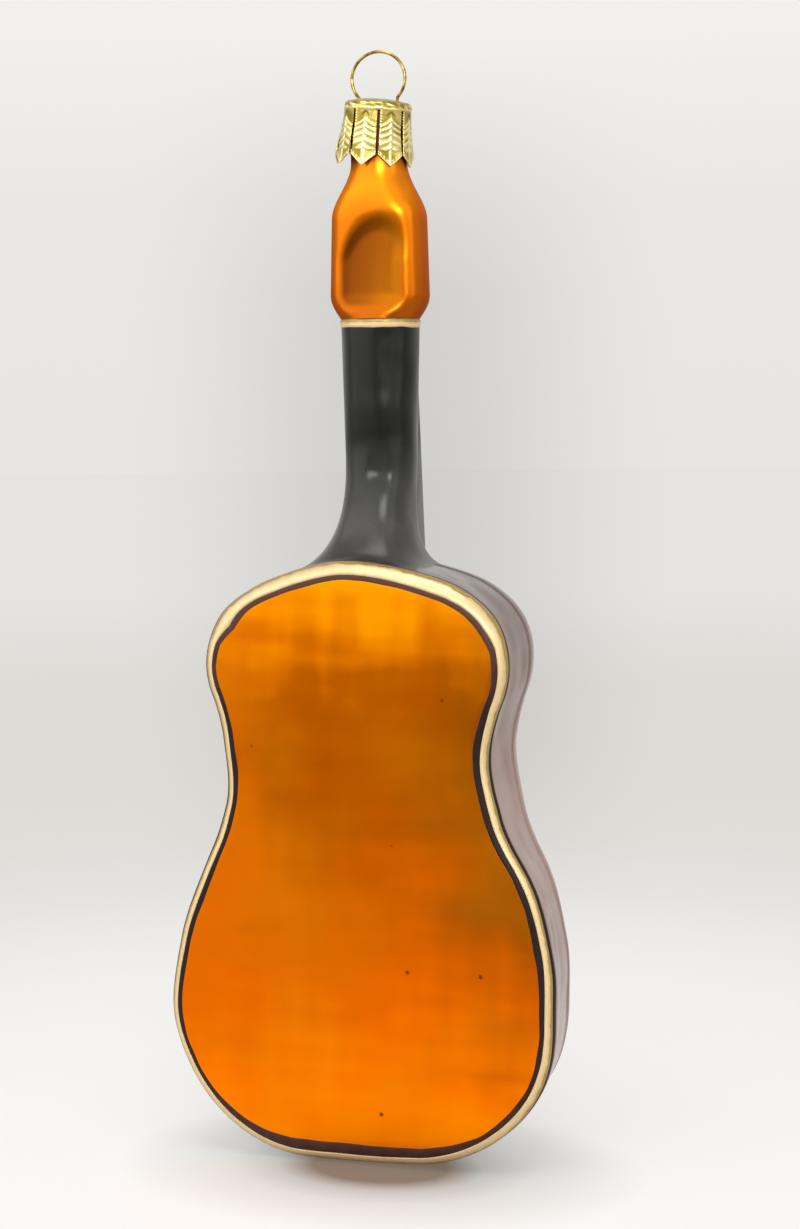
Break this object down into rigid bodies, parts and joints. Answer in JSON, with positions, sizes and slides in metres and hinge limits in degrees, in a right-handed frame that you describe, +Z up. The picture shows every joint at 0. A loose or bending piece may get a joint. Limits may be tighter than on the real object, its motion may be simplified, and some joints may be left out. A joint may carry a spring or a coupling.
{
  "type": "guitar-shaped hanging ornament",
  "caption": "Hollow blown-glass hanging ornament shaped as an acoustic guitar, with a stamped lappet cap and a sprung wire loop.",
  "frame": {"origin": "the inside of the top of the wire loop, where a hook carries the ornament; the neck's axis passes through it", "axes": "+Z up along the neck; -Y is the guitar's plain back, +Y its strung front; X across the body"},
  "size_m": [0.059, 0.0245, 0.1628],
  "materials": {
    "lacquered_glass": "satin amber lacquer over silvered glass; gloss black neck and gloss maroon-brown sides",
    "gold_paint": "raised hand-painted metallic gold",
    "gilt_cap_sheet": "stamped thin sheet with pale gold lacquer",
    "gilt_wire": "bright gilt spring wire",
    "string_wire": "fine gilt wire"
  },
  "bodies": {
    "hanger": {"hanging_wire": "gilt_wire"},
    "cap": {"cap": "gilt_cap_sheet"},
    "glass": {"glass_shell": "lacquered_glass", "back_gold_line": "gold_paint", "front_gold_line": "gold_paint", "nut_gold_band": "gold_paint", "soundhole_gold_ring": "gold_paint", "string_1": "string_wire", "string_2": "string_wire", "string_3": "string_wire", "string_4": "string_wire", "string_5": "string_wire", "string_6": "string_wire"}
  },
  "joints": [
    {"name": "loop_tip", "type": "hinge", "parent": "hanger", "child": "cap", "pos_m": [0, 0, -0.00662], "axis": [1, 0, 0], "range_deg": [-5, 5]},
    {"name": "cap_pull_off", "type": "slide", "parent": "cap", "child": "glass", "axis": [0, 0, -1], "range_m": [0, 0.02]}
  ]
}
